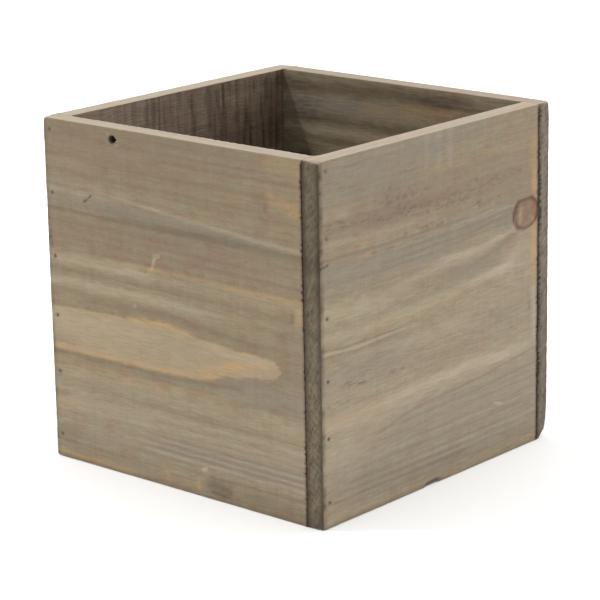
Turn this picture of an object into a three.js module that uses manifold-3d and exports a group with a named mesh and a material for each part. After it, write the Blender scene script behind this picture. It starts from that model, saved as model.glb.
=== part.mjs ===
// Small wooden planter cube: four equal boards butted round like a pinwheel, a recessed floor
// board between them, and wire brads through every joint. Millimetres, +Z up, the origin at the
// middle of the footprint on the surface that the box stands on.

import * as THREE from "three";
import { mergeVertices } from "three/addons/utils/BufferGeometryUtils.js";
import Module from "manifold-3d";

const wasm = await Module();
wasm.setup();

// Driving dimensions of the box.
const OUTER = 140; // side of the square footprint
const HEIGHT = 137.5; // from the standing surface to the rim
const WALL = 8; // thickness of the four boards
const JOINT_GAP = 0.3; // between a board's end and the face that it butts against
const ARRIS = 0.5; // flat eased on every edge of a board

// The floor board, held between the walls and clear of the standing surface.
const FLOOR_THICKNESS = 8;
const FLOOR_RECESS = 1.5; // from the standing surface up to the floor board
const FLOOR_GAP = 0.3; // between the floor board's edges and the walls

// 18-gauge brads: flat wire with a T-shaped head and a chisel point.
const BRAD_LENGTH = 25;
const BRAD_WIDTH = 1.25; // along the grain of the board that it goes through
const BRAD_THICKNESS = 1.05;
const HEAD_WIDTH = 1.95;
const HEAD_DEPTH = 0.6;
const POINT_LENGTH = 1.6;
const POINT_WIDTH = 0.3;
const BRAD_SET = 0.35; // depth of the head below the board's face
const BRAD_CLEARANCE = 0.3; // all round a brad in its hole

// One column of brads at each corner, through the board that covers the joint.
const CORNER_BRADS = 6;
const CORNER_BRAD_BOTTOM = 9.6; // height of the lowest
const CORNER_BRAD_TOP = 4.8; // from the highest up to the rim

// A row of brads low on each wall, into the edge of the floor board.
const FLOOR_BRADS = 3;
const FLOOR_BRAD_FIRST = 18; // from the covering end of the wall
const FLOOR_BRAD_LAST = 24; // from the other end, past the tips of the corner brads

// A pin knot has dropped out of the front board and left a blind hole.
const PIN_KNOT_RADIUS = 1.6;
const PIN_KNOT_BOTTOM_RADIUS = 0.9;
const PIN_KNOT_DEPTH = 5;
const PIN_KNOT_FROM_END = 38; // from the covering end of the front board
const PIN_KNOT_FROM_RIM = 4.6;

// The walls in turn, each a quarter turn on from the one before. The brads were driven by hand,
// and drift is how far each strays from even spacing, from the lowest to the highest.
const WALLS = [
  { name: "front", drift: [0, 1.4, -0.3, -1, -0.2, 0] },
  { name: "right", drift: [0.4, 0.2, -2.8, -3.9, 0.9, 0.8] },
  { name: "back", drift: [-0.6, 0.8, 1.5, -0.4, -1.2, 0.3] },
  { name: "left", drift: [0.5, -1.1, 0.6, 1.7, -0.5, -0.4] },
];

const HALF = OUTER / 2;
const BOARD_LENGTH = OUTER - WALL - JOINT_GAP;
const FLOOR_SIDE = OUTER - 2 * WALL - 2 * FLOOR_GAP;
const OVERRUN = 1; // how far a cutter runs out of the face that it opens on
const QUARTER_TURN = new THREE.Matrix4().makeRotationZ(Math.PI / 2);

const pine = new THREE.MeshStandardMaterial({ color: 0x9c8b74, roughness: 0.82, metalness: 0 });
const insideGrade = new THREE.MeshStandardMaterial({ color: 0x7d6b58, roughness: 0.88, metalness: 0 });
const brownedSteel = new THREE.MeshStandardMaterial({ color: 0x4a4038, roughness: 0.6, metalness: 0.8 });

// A closed geometry as a solid that can be joined and cut.
function solidOf(geometry) {
  const bare = new THREE.BufferGeometry();
  bare.setAttribute("position", geometry.getAttribute("position"));
  if (geometry.index) {
    bare.setIndex(geometry.index);
  }
  const merged = mergeVertices(bare, 1e-4);
  const vertProperties = new Float32Array(merged.getAttribute("position").array);
  const triVerts = new Uint32Array(merged.index.array);
  return new wasm.Manifold(new wasm.Mesh({ numProp: 3, vertProperties, triVerts }));
}

function geometryOf(solid) {
  const mesh = solid.getMesh();
  const geometry = new THREE.BufferGeometry();
  geometry.setAttribute("position", new THREE.BufferAttribute(mesh.vertProperties, 3));
  geometry.setIndex(new THREE.BufferAttribute(mesh.triVerts, 1));
  geometry.computeVertexNormals();
  return geometry;
}

function cutAll(geometry, cutters) {
  const solid = cutters.reduce((left, cutter) => left.subtract(solidOf(cutter)), solidOf(geometry));
  return geometryOf(solid);
}

// A board lying in the plane of a wall: length along X, thickness along Y, height along Z, with
// its centre at the origin and a small flat on every edge.
function easedBoard(length, thickness, height) {
  const x = length / 2 - ARRIS;
  const z = height / 2 - ARRIS;
  const outline = new THREE.Shape([
    new THREE.Vector2(-x, -z),
    new THREE.Vector2(x, -z),
    new THREE.Vector2(x, z),
    new THREE.Vector2(-x, z),
  ]);
  const board = new THREE.ExtrudeGeometry(outline, {
    depth: thickness - 2 * ARRIS,
    bevelEnabled: true,
    bevelThickness: ARRIS,
    bevelSize: ARRIS,
    bevelSegments: 1,
  });
  board.translate(0, 0, ARRIS - thickness / 2);
  board.rotateX(Math.PI / 2);
  return board;
}

// A brad driven along +Y, with the top of its head at the origin. Grown by a clearance and with
// an overrun above the head, the same outline cuts its hole.
function bradShape(grow, overrun) {
  const head = HEAD_WIDTH / 2 + grow;
  const shank = BRAD_WIDTH / 2 + grow;
  const point = POINT_WIDTH / 2 + grow;
  const headBottom = HEAD_DEPTH + grow;
  const tip = BRAD_LENGTH + grow;
  const outline = new THREE.Shape([
    new THREE.Vector2(-head, -overrun),
    new THREE.Vector2(head, -overrun),
    new THREE.Vector2(head, headBottom),
    new THREE.Vector2(shank, headBottom),
    new THREE.Vector2(shank, tip - POINT_LENGTH),
    new THREE.Vector2(point, tip),
    new THREE.Vector2(-point, tip),
    new THREE.Vector2(-shank, tip - POINT_LENGTH),
    new THREE.Vector2(-shank, headBottom),
    new THREE.Vector2(-head, headBottom),
  ]);
  const depth = BRAD_THICKNESS + 2 * grow;
  const brad = new THREE.ExtrudeGeometry(outline, { depth, bevelEnabled: false });
  brad.translate(0, 0, -depth / 2);
  return brad;
}

// Where a wall's brads start, in that wall's own frame: the front wall's place, facing -Y.
function cornerBradPlaces(wall) {
  const lowest = CORNER_BRAD_BOTTOM;
  const pitch = (HEIGHT - CORNER_BRAD_TOP - lowest) / (CORNER_BRADS - 1);
  return wall.drift.map((drift, i) => new THREE.Vector3(
    WALL / 2 - HALF,
    BRAD_SET - HALF,
    lowest + i * pitch + drift,
  ));
}

function floorBradPlaces() {
  const run = BOARD_LENGTH - FLOOR_BRAD_LAST - FLOOR_BRAD_FIRST;
  return Array.from({ length: FLOOR_BRADS }, (_, i) => new THREE.Vector3(
    FLOOR_BRAD_FIRST - HALF + (i * run) / (FLOOR_BRADS - 1),
    BRAD_SET - HALF,
    FLOOR_RECESS + FLOOR_THICKNESS / 2,
  ));
}

function bradHole(place) {
  return bradShape(BRAD_CLEARANCE, BRAD_SET + OVERRUN).translate(place.x, place.y, place.z);
}

function pinKnotHole() {
  const hole = new THREE.CylinderGeometry(
    PIN_KNOT_BOTTOM_RADIUS,
    PIN_KNOT_RADIUS,
    PIN_KNOT_DEPTH + OVERRUN,
    12,
  );
  const middle = (PIN_KNOT_DEPTH - OVERRUN) / 2;
  return hole.translate(PIN_KNOT_FROM_END - HALF, middle - HALF, HEIGHT - PIN_KNOT_FROM_RIM);
}

// A wall board in its own frame, with the holes of its own brads and, in its far end grain, of the
// brads that come through the next wall round.
function wallBoard(wall, nextWall) {
  const board = easedBoard(BOARD_LENGTH, WALL, HEIGHT);
  board.translate(BOARD_LENGTH / 2 - HALF, WALL / 2 - HALF, HEIGHT / 2);
  const own = [...cornerBradPlaces(wall), ...floorBradPlaces()].map(bradHole);
  const next = cornerBradPlaces(nextWall).map((place) => bradHole(place).applyMatrix4(QUARTER_TURN));
  const knots = wall.name === "front" ? [pinKnotHole()] : [];
  return cutAll(board, [...own, ...next, ...knots]);
}

function floorBoard() {
  const board = easedBoard(FLOOR_SIDE, FLOOR_SIDE, FLOOR_THICKNESS);
  board.translate(0, 0, FLOOR_RECESS + FLOOR_THICKNESS / 2);
  const holes = WALLS.flatMap((_, turn) => floorBradPlaces().map(
    (place) => bradHole(place).rotateZ((turn * Math.PI) / 2),
  ));
  return cutAll(board, holes);
}

function named(name, geometry, material) {
  const mesh = new THREE.Mesh(geometry, material.clone());
  mesh.name = name;
  return mesh;
}

const planter = new THREE.Group();

WALLS.forEach((wall, turn) => {
  const side = new THREE.Group();
  side.rotation.z = (turn * Math.PI) / 2;
  const nextWall = WALLS[(turn + 1) % WALLS.length];
  side.add(named(`${wall.name}_board`, wallBoard(wall, nextWall), pine));
  cornerBradPlaces(wall).forEach((place, i) => {
    const brad = named(`${wall.name}_corner_brad_${i + 1}`, bradShape(0, 0), brownedSteel);
    brad.position.copy(place);
    side.add(brad);
  });
  floorBradPlaces().forEach((place, i) => {
    const brad = named(`${wall.name}_floor_brad_${i + 1}`, bradShape(0, 0), brownedSteel);
    brad.position.copy(place);
    side.add(brad);
  });
  planter.add(side);
});
planter.add(named("floor_board", floorBoard(), insideGrade));

export default planter;
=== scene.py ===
"""A small planter cube of stained pine boards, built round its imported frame.

Lengths are in millimetres until a mesh is made, and each board is shaped in its own place: along
it from the end that covers its neighbour, through it from its outer face, and up from its foot.
"""

from typing import NamedTuple

import bpy
import numpy as np
from mathutils import Matrix, Vector


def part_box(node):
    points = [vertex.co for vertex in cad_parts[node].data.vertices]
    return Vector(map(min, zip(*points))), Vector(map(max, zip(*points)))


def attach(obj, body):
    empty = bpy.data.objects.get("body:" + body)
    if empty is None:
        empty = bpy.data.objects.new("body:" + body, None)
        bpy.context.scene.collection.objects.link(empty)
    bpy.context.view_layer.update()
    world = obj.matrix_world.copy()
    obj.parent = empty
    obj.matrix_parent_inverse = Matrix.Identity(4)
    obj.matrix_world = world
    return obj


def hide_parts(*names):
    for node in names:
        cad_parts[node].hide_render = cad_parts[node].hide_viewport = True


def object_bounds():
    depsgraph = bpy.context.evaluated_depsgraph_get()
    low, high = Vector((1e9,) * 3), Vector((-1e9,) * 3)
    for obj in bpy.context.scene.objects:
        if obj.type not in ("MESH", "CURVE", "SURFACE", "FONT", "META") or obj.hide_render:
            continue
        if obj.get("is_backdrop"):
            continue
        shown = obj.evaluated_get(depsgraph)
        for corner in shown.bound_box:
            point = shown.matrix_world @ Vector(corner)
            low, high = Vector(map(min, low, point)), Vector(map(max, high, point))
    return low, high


bl_info = {
    "name": "Planter Cube",
    "version": (1, 0, 0),
    "blender": (4, 5, 0),
    "location": "3D View > Sidebar > Planter",
    "description": "Builds a nailed planter cube of stained pine boards round its frame",
    "category": "Add Mesh",
}

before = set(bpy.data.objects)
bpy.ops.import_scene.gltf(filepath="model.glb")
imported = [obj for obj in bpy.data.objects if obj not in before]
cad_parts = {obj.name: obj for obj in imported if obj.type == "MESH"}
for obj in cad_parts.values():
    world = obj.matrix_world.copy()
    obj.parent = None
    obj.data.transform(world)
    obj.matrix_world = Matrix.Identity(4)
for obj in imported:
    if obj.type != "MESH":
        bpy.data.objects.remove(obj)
CAD_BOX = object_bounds()

MM = 0.001
BODY = "root"
WALLS = ("front", "right", "back", "left")  # each a quarter turn on from the one before
ROUGH_INSIDE = ("front", "left")  # walls whose inner face was left as it was sawn
ROUGH_SAWN = "stained pine, rough-sawn face"  # the floor board's material too
CORNER_BRADS = 6
SHARP_FOLD = 50.0  # degrees between two quads from which the fold between them is sharp

OUTER_SKIN = (1.0, 4.0)  # depths between which the outer face's tints fade away
INNER_SKIN = (4.0, 7.0)  # depths between which the inner face's tints come in
ARRIS = 0.7  # how far a face's tints keep from its edges
JOINT_REACH = 0.36  # how far a covered end runs on, which closes the joint
BRAD_PIT = 0.32  # how far the wood is sunk over a brad's head


# ---------------------------------------------------------------------------------------------
# Grids and noise


def graded(length, step, fine=()):
    """Grid lines from 0 to length, about step apart, and closer where fine says.

    Each entry of fine is (place, reach, step there). The lines are the even divisions of the
    running sum of 1 / step.
    """
    at = np.linspace(0.0, length, 8001)
    density = np.full(at.shape, 1.0 / step)
    for place, reach, finer in fine:
        density = np.where(np.abs(at - place) < reach, np.maximum(density, 1.0 / finer), density)
    steps = (density[1:] + density[:-1]) / 2.0 * np.diff(at)
    total = np.concatenate([[0.0], np.cumsum(steps)])
    count = int(np.ceil(total[-1]))
    return np.interp(np.linspace(0.0, total[-1], count + 1), total, at)


def box_lattice(along, through, up):
    """The six sides of a box as one closed surface of quads, from the grid lines on its axes.

    Every corner of the block of cells has a number. Each side is a slice of that block, and a quad
    joins each number to the next along the slice's two axes, wound to face outwards.
    Returns the points, the quads and the side of each quad: twice the axis, plus 1 at its far end.
    """
    shape = (len(along), len(through), len(up))
    number = np.arange(np.prod(shape)).reshape(shape)
    quads, sides = [], []
    for axis in range(3):
        for end in (0, 1):
            sheet = np.take(number, -end, axis=axis)
            if (axis != 1) != bool(end):
                sheet = sheet.T
            ring = (sheet[:-1, :-1], sheet[1:, :-1], sheet[1:, 1:], sheet[:-1, 1:])
            quads.append(np.stack(ring, axis=-1).reshape(-1, 4))
            sides.append(np.full(len(quads[-1]), 2 * axis + end))
    used, quads = np.unique(np.concatenate(quads), return_inverse=True)
    i, j, k = np.unravel_index(used, shape)
    points = np.stack([along[i], through[j], up[k]], axis=1)
    return points, quads.reshape(-1, 4), np.concatenate(sides)


def noise(u, v, seed):
    """Smooth random heights from -1 to 1 over the plane (u, v), about one bump to a unit.

    Random values at the whole numbers, joined by a smooth step along each axis.
    """
    table = np.random.default_rng(seed).uniform(-1.0, 1.0, (256, 256))
    u, v = np.broadcast_arrays(u, v)
    iu, iv = np.floor(u).astype(int), np.floor(v).astype(int)
    fu, fv = u - iu, v - iv
    fu, fv = fu * fu * (3.0 - 2.0 * fu), fv * fv * (3.0 - 2.0 * fv)
    low = table[iu % 256, iv % 256] * (1 - fu) + table[(iu + 1) % 256, iv % 256] * fu
    high = table[iu % 256, (iv + 1) % 256] * (1 - fu) + table[(iu + 1) % 256, (iv + 1) % 256] * fu
    return low * (1 - fv) + high * fv


def ease(x, low, high):
    """0 below low, 1 above high, and a smooth step between them."""
    t = np.clip((x - low) / (high - low), 0.0, 1.0)
    return t * t * (3.0 - 2.0 * t)


def near(x, reach):
    """1 at 0, and a smooth step down to 0 at the reach on either side."""
    return 1.0 - ease(np.abs(x), 0.0, reach)


def teeth(x, pitch, seed):
    """Torn fibres' ends: pointed teeth of uneven pitch and length, from 0 to 1."""
    phase = x / pitch + 0.9 * noise(x / (2.3 * pitch), 0.0, seed)
    length = 0.55 + 0.45 * noise(x / (1.7 * pitch), 5.0, seed)
    return (1.0 - np.abs(2.0 * (phase % 1.0) - 1.0)) * length


def round_arrises(at, size, radius):
    """Rolls the edges of a box: a point within radius of an edge is drawn onto a quarter-round.

    The box shrunk by the radius is its core. Each point moves to the radius from the nearest point
    of the core, along the line between them. Returns the points and those lines' directions.
    """
    radius = radius[:, None]
    core = np.clip(at, radius, size - radius)
    out = at - core
    out /= np.maximum(np.linalg.norm(out, axis=1, keepdims=True), 1e-9)
    return core + out * radius, out


# ---------------------------------------------------------------------------------------------
# The pine: its growth rings, streaks and marks


class Streak(NamedTuple):
    """A streak of one tint that follows the grain through a few (along, up) places."""

    tint: str
    half: float  # half its height
    strength: float
    line: tuple
    fade: float = 9.0  # length over which each end dies away
    specks: float = 0.0  # length of its specks, where it is broken into them


class Mark(NamedTuple):
    """A spot, or a stroke between two (along, up) places, where the face is stained or broken."""

    tint: str
    half: float  # half its width
    strength: float
    start: tuple
    end: tuple = ()
    depth: float = 0.0  # how far its middle is sunk


class Knot(NamedTuple):
    """A knot that goes through the board, with the grain parted round it."""

    along: float
    up: float
    radius: float


class Figure(NamedTuple):
    """How a board was sawn from the log, which gives its grain, and what happened to it since."""

    heart: float  # height at which the growth rings lie flat to the face
    depth: float  # from the outer face out to the pith
    ring: float  # thickness of a year's growth
    knots: tuple = ()
    flame: tuple = ()  # (along, top, bottom) of the bare patch where the last ring leaves the face
    streaks: tuple = ()
    marks: tuple = ()
    # streaks on the inner face, and broad painted shade and light there
    inner_streaks_and_shade: tuple = ()
    shrunk: float = 0.2  # gap that has opened at the top of the joint with the board that covers it
    end_stain: tuple = ((0, 0.1),)  # how dark its covering end is at a few (up, share) places
    end_grey: float = 0.0  # how weathered that end is
    end_torn: float = 1.0  # how far its covering end's inner arris is torn, against the others
    rim_stain: float = 0.0  # how much darker its rim is than the others
    worn_foot: float = 0.0  # extra radius where the foot meets the covering end
    worn_rim: float = 0.6  # extra radius where the rim meets the covering end


TINTS = ("pale", "chalk", "grey", "rose", "amber", "rust", "umber", "black")
EVERYWHERE = ((-30, 68), (160, 68))

FRONT = Figure(
    heart=57.0,
    depth=34.0,
    ring=2.6,
    flame=(
        (-10, 63.0, 45.0),
        (4, 63.1, 45.2),
        (44, 64.4, 45.3),
        (65, 66.0, 45.6),
        (77, 63.3, 46.3),
        (87, 62.3, 47.2),
        (93, 62.0, 50.0),
        (108, 61.4, 51.9),
        (117, 61.0, 53.2),
        (119.5, 59.0, 55.0),
        (121, 57.0, 57.0),
        (150, 57.0, 57.0),
    ),
    streaks=(
        Streak("umber", 28.0, 0.12, ((-30, 116), (160, 116))),
        Streak("chalk", 17.0, 0.24, ((-30, 19), (160, 19))),
        # The dull rosy band under the rim, and its thin dark lines
        Streak("rose", 9.0, 0.55, ((-9, 134), (90, 134)), 45),
        Streak("rose", 7.5, 0.4, ((-9, 121), (140, 117)), 20),
        Streak("umber", 3.6, 0.2, ((-9, 135), (88, 135)), 40),
        Streak("grey", 3.0, 0.3, ((70, 133), (112, 132)), 16),
        Streak("umber", 0.7, 0.3, ((36, 130.6), (108, 130.0)), 16),
        Streak("umber", 0.6, 0.3, ((60, 127.4), (126, 127.0))),
        Streak("umber", 0.7, 0.2, ((2, 124.2), (70, 124.0)), 14),
        Streak("umber", 0.8, 0.24, ((30, 121.8), (112, 121.0)), 18),
        Streak("pale", 1.8, 0.22, ((-9, 121.5), (24, 121))),
        Streak("umber", 0.6, 0.18, ((20, 116.8), (100, 115.6)), 14),
        Streak("pale", 1.6, 0.18, ((-9, 114.5), (58, 113.0)), 22),
        # The blue-white band, and the line that runs down from it
        Streak("chalk", 1.5, 0.3, ((-9, 109.8), (22, 109.4)), 20),
        Streak("grey", 2.4, 0.4, ((-9, 105.8), (38, 105.6)), 18),
        Streak("pale", 0.8, 0.5, ((36, 110.9), (52, 109.4), (70, 107.6), (140, 102.6)), 12),
        Streak("grey", 2.2, 0.5, ((44, 105.6), (84, 104.4), (108, 103.4)), 16),
        Streak("umber", 3.0, 0.22, ((36, 102.4), (140, 99.6)), 16),
        Streak("umber", 0.9, 0.42, ((-9, 102.2), (30, 101.8), (76, 101.7), (140, 101.6))),
        Streak("umber", 0.5, 0.25, ((48, 103.2), (100, 102.6))),
        # The rosy zone below it
        Streak("rose", 7.2, 0.5, ((-9, 94), (92, 94.5)), 30),
        Streak("rose", 5.0, 0.3, ((80, 92), (140, 92)), 20),
        Streak("umber", 0.8, 0.26, ((-9, 97.8), (28, 97.2), (70, 97)), 16),
        Streak("umber", 0.6, 0.2, ((22, 94.2), (96, 93.6)), 14),
        Streak("umber", 0.9, 0.2, ((36, 90.4), (140, 89.6)), 14),
        Streak("grey", 2.0, 0.22, ((64, 98.6), (118, 98.2)), 12),
        Streak("umber", 0.6, 0.3, ((28, 87.0), (64, 86.9)), 9),
        # The cream lines in the middle
        Streak("amber", 0.7, 0.34, ((44, 85.4), (70, 85.0), (140, 85.0)), 12),
        Streak("amber", 0.9, 0.28, ((100, 84.4), (140, 84.0)), 14),
        Streak("pale", 2.6, 0.55, ((-9, 82.6), (40, 82.4)), 22),
        Streak("pale", 2.2, 0.26, ((44, 82.2), (140, 82.0)), 18),
        Streak("rose", 1.1, 0.5, ((-9, 78.5), (58, 78.4), (140, 77.2)), 12),
        Streak("umber", 0.5, 0.26, ((-9, 78.2), (80, 77.8)), 14),
        Streak("pale", 2.3, 0.6, ((-9, 73.8), (50, 73.6), (74, 73)), 26),
        Streak("grey", 2.2, 0.22, ((78, 74.4), (128, 74)), 12),
        Streak("amber", 0.9, 0.26, ((96, 73.6), (116, 73.3))),
        Streak("rose", 2.6, 0.34, ((18, 68.8), (44, 68.9), (66, 69.4), (90, 68), (132, 66)), 12),
        Streak("umber", 1.3, 0.24, ((20, 67.0), (42, 67.6), (66, 69.0), (92, 66), (128, 64.6)), 10),
        # Inside the bare patch
        Streak("chalk", 3.6, 0.22, ((-9, 58.5), (34, 58)), 26),
        Streak("grey", 2.6, 0.16, ((52, 57.5), (80, 58)), 12),
        Streak("amber", 1.2, 0.38, ((48, 64.2), (64, 64.8), (76, 63.0)), 6),
        Streak("amber", 2.1, 0.5, ((84, 51.2), (92, 52.6), (100, 55.2)), 7),
        Streak("amber", 1.5, 0.4, ((96, 55), (106, 56.6), (114, 58.0)), 6),
        Streak("amber", 1.2, 0.36, ((4, 46.4), (44, 46.6), (66, 46.8), (86, 48.2)), 5),
        Streak("chalk", 2.0, 0.3, ((88, 59.5), (114, 58.8)), 8),
        Streak("rose", 1.8, 0.55, ((2, 50.3), (11, 50.0)), 5),
        Streak("umber", 0.6, 0.3, ((2, 48.6), (14, 48.2)), 4),
        # The ground below it
        Streak("umber", 0.8, 0.36, ((-9, 44.0), (44, 44.3), (76, 45.0), (96, 46.6)), 10),
        Streak("grey", 4.6, 0.5, ((94, 47), (140, 46.6)), 8),
        Streak("grey", 1.3, 0.34, ((50, 43.2), (92, 43.4)), 12),
        Streak("amber", 0.7, 0.24, ((22, 40.9), (58, 41.0), (92, 41.2)), 12),
        Streak("umber", 0.45, 0.3, ((60, 42.0), (130, 41.4)), 12),
        Streak("pale", 3.6, 0.34, ((6, 35.5), (70, 36), (134, 36.6)), 14),
        Streak("amber", 1.8, 0.2, ((4, 38.8), (62, 38.6)), 12),
        Streak("rose", 2.0, 0.24, ((6, 33.2), (40, 33.4)), 14),
        Streak("umber", 0.4, 0.34, ((58, 30.8), (134, 30.5)), 18),
        Streak("pale", 4.2, 0.34, ((10, 25.5), (52, 24.6)), 14),
        Streak("pale", 1.2, 0.34, ((60, 28.2), (134, 27.8)), 14),
        Streak("chalk", 0.7, 0.26, ((66, 24.2), (134, 23.9)), 12),
        Streak("umber", 1.3, 0.36, ((-9, 27.4), (7, 27.0)), 5),
        Streak("amber", 1.0, 0.42, ((-9, 23.2), (13, 23.0)), 6),
        Streak("grey", 3.6, 0.42, ((70, 17), (134, 16.6)), 18),
        Streak("umber", 0.45, 0.4, ((60, 19.8), (134, 19.3)), 12),
        Streak("chalk", 0.4, 0.36, ((66, 18.6), (134, 18.2)), 12),
        Streak("umber", 0.45, 0.34, ((64, 17.2), (134, 16.8)), 12),
        Streak("chalk", 0.4, 0.34, ((58, 16.1), (134, 15.6)), 12),
        Streak("umber", 0.5, 0.4, ((62, 14.8), (134, 14.3)), 12),
        Streak("chalk", 0.5, 0.36, ((56, 13.3), (134, 12.9)), 12),
        Streak("umber", 0.5, 0.24, ((40, 12.0), (76, 11.8)), 12),
        Streak("grey", 2.4, 0.26, ((20, 12.6), (60, 12.6)), 14),
        Streak("umber", 3.0, 0.34, ((-9, 10.6), (11, 10.4)), 6),
        Streak("umber", 0.7, 0.3, ((-9, 7.4), (50, 6.8)), 12),
        Streak("rose", 1.6, 0.3, ((4, 5), (52, 4.6)), 12),
        Streak("amber", 0.9, 0.5, ((6, 2.4), (38, 2.0)), 8),
        Streak("umber", 0.9, 0.5, ((-9, 0.6), (150, 0.6)), 8),
        Streak("umber", 4.4, 0.42, ((84, 4.4), (134, 3.4)), 6),
        Streak("umber", 0.6, 0.3, ((70, 9.4), (134, 9.0)), 12),
    ),
    marks=(
        # A deep hole under the rim, painted black inside: painted shade in the hole.
        Mark("black", 1.5, 1.0, (37.85, 132.9), (38.15, 132.9), 4.4),
        Mark("chalk", 0.5, 0.5, (35.2, 134.4), (36.2, 134.9)),
        Mark("chalk", 0.5, 0.5, (39.2, 130.4), (40.2, 130.9)),
        Mark("umber", 0.45, 0.8, (21.4, 106.4), (22.9, 107.5), 0.25),
        Mark("umber", 0.45, 0.8, (24.0, 108.4), (25.3, 109.6), 0.25),
        Mark("chalk", 1.1, 0.5, (60.4, 91.4), (58.0, 90.4), 0.25),
        Mark("pale", 0.8, 0.7, (58.0, 89.6), (56.4, 86.2), 0.25),
        Mark("amber", 0.9, 0.5, (56.4, 86.0), (54.8, 84.2), 0.25),
        Mark("chalk", 0.8, 0.6, (47.0, 69.6)),
        Mark("chalk", 0.5, 0.5, (31.0, 85.2)),
        Mark("amber", 3.2, 0.34, (117, 121.5), (129, 118.5)),
        Mark("amber", 2.4, 0.26, (127, 117), (131, 116)),
        Mark("amber", 3.4, 0.22, (116, 134.5), (131, 133.6)),
        Mark("amber", 2.0, 0.16, (98, 119), (104, 118)),
        Mark("umber", 0.9, 0.4, (114.4, 119.0), (114.6, 116.6)),
        Mark("umber", 1.2, 0.22, (112.6, 113.4), (114.0, 112.6)),
        Mark("amber", 1.9, 0.4, (130.0, 80.6), (129.2, 77.0)),
        Mark("umber", 1.0, 0.4, (127.0, 79.4), (126.2, 77.0)),
        Mark("chalk", 1.0, 0.7, (80.2, 10.8), (82.0, 11.4)),
        Mark("amber", 1.0, 0.5, (78.0, 7.4), (77.6, 3.2)),
        Mark("umber", 2.6, 0.3, (84.0, 6.4), (93.0, 4.4), 0.12),
        Mark("umber", 1.2, 0.4, (86.0, 3.0), (92.0, 2.2), 0.12),
        Mark("amber", 0.9, 0.5, (61.0, 5.6), (62.0, 4.6)),
        Mark("umber", 1.6, 0.3, (3.0, 36.4), (4.2, 35.0)),
        Mark("umber", 0.35, 0.5, (2.6, 93), (3.0, 86)),
    ),
    shrunk=0.36,
)

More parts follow.
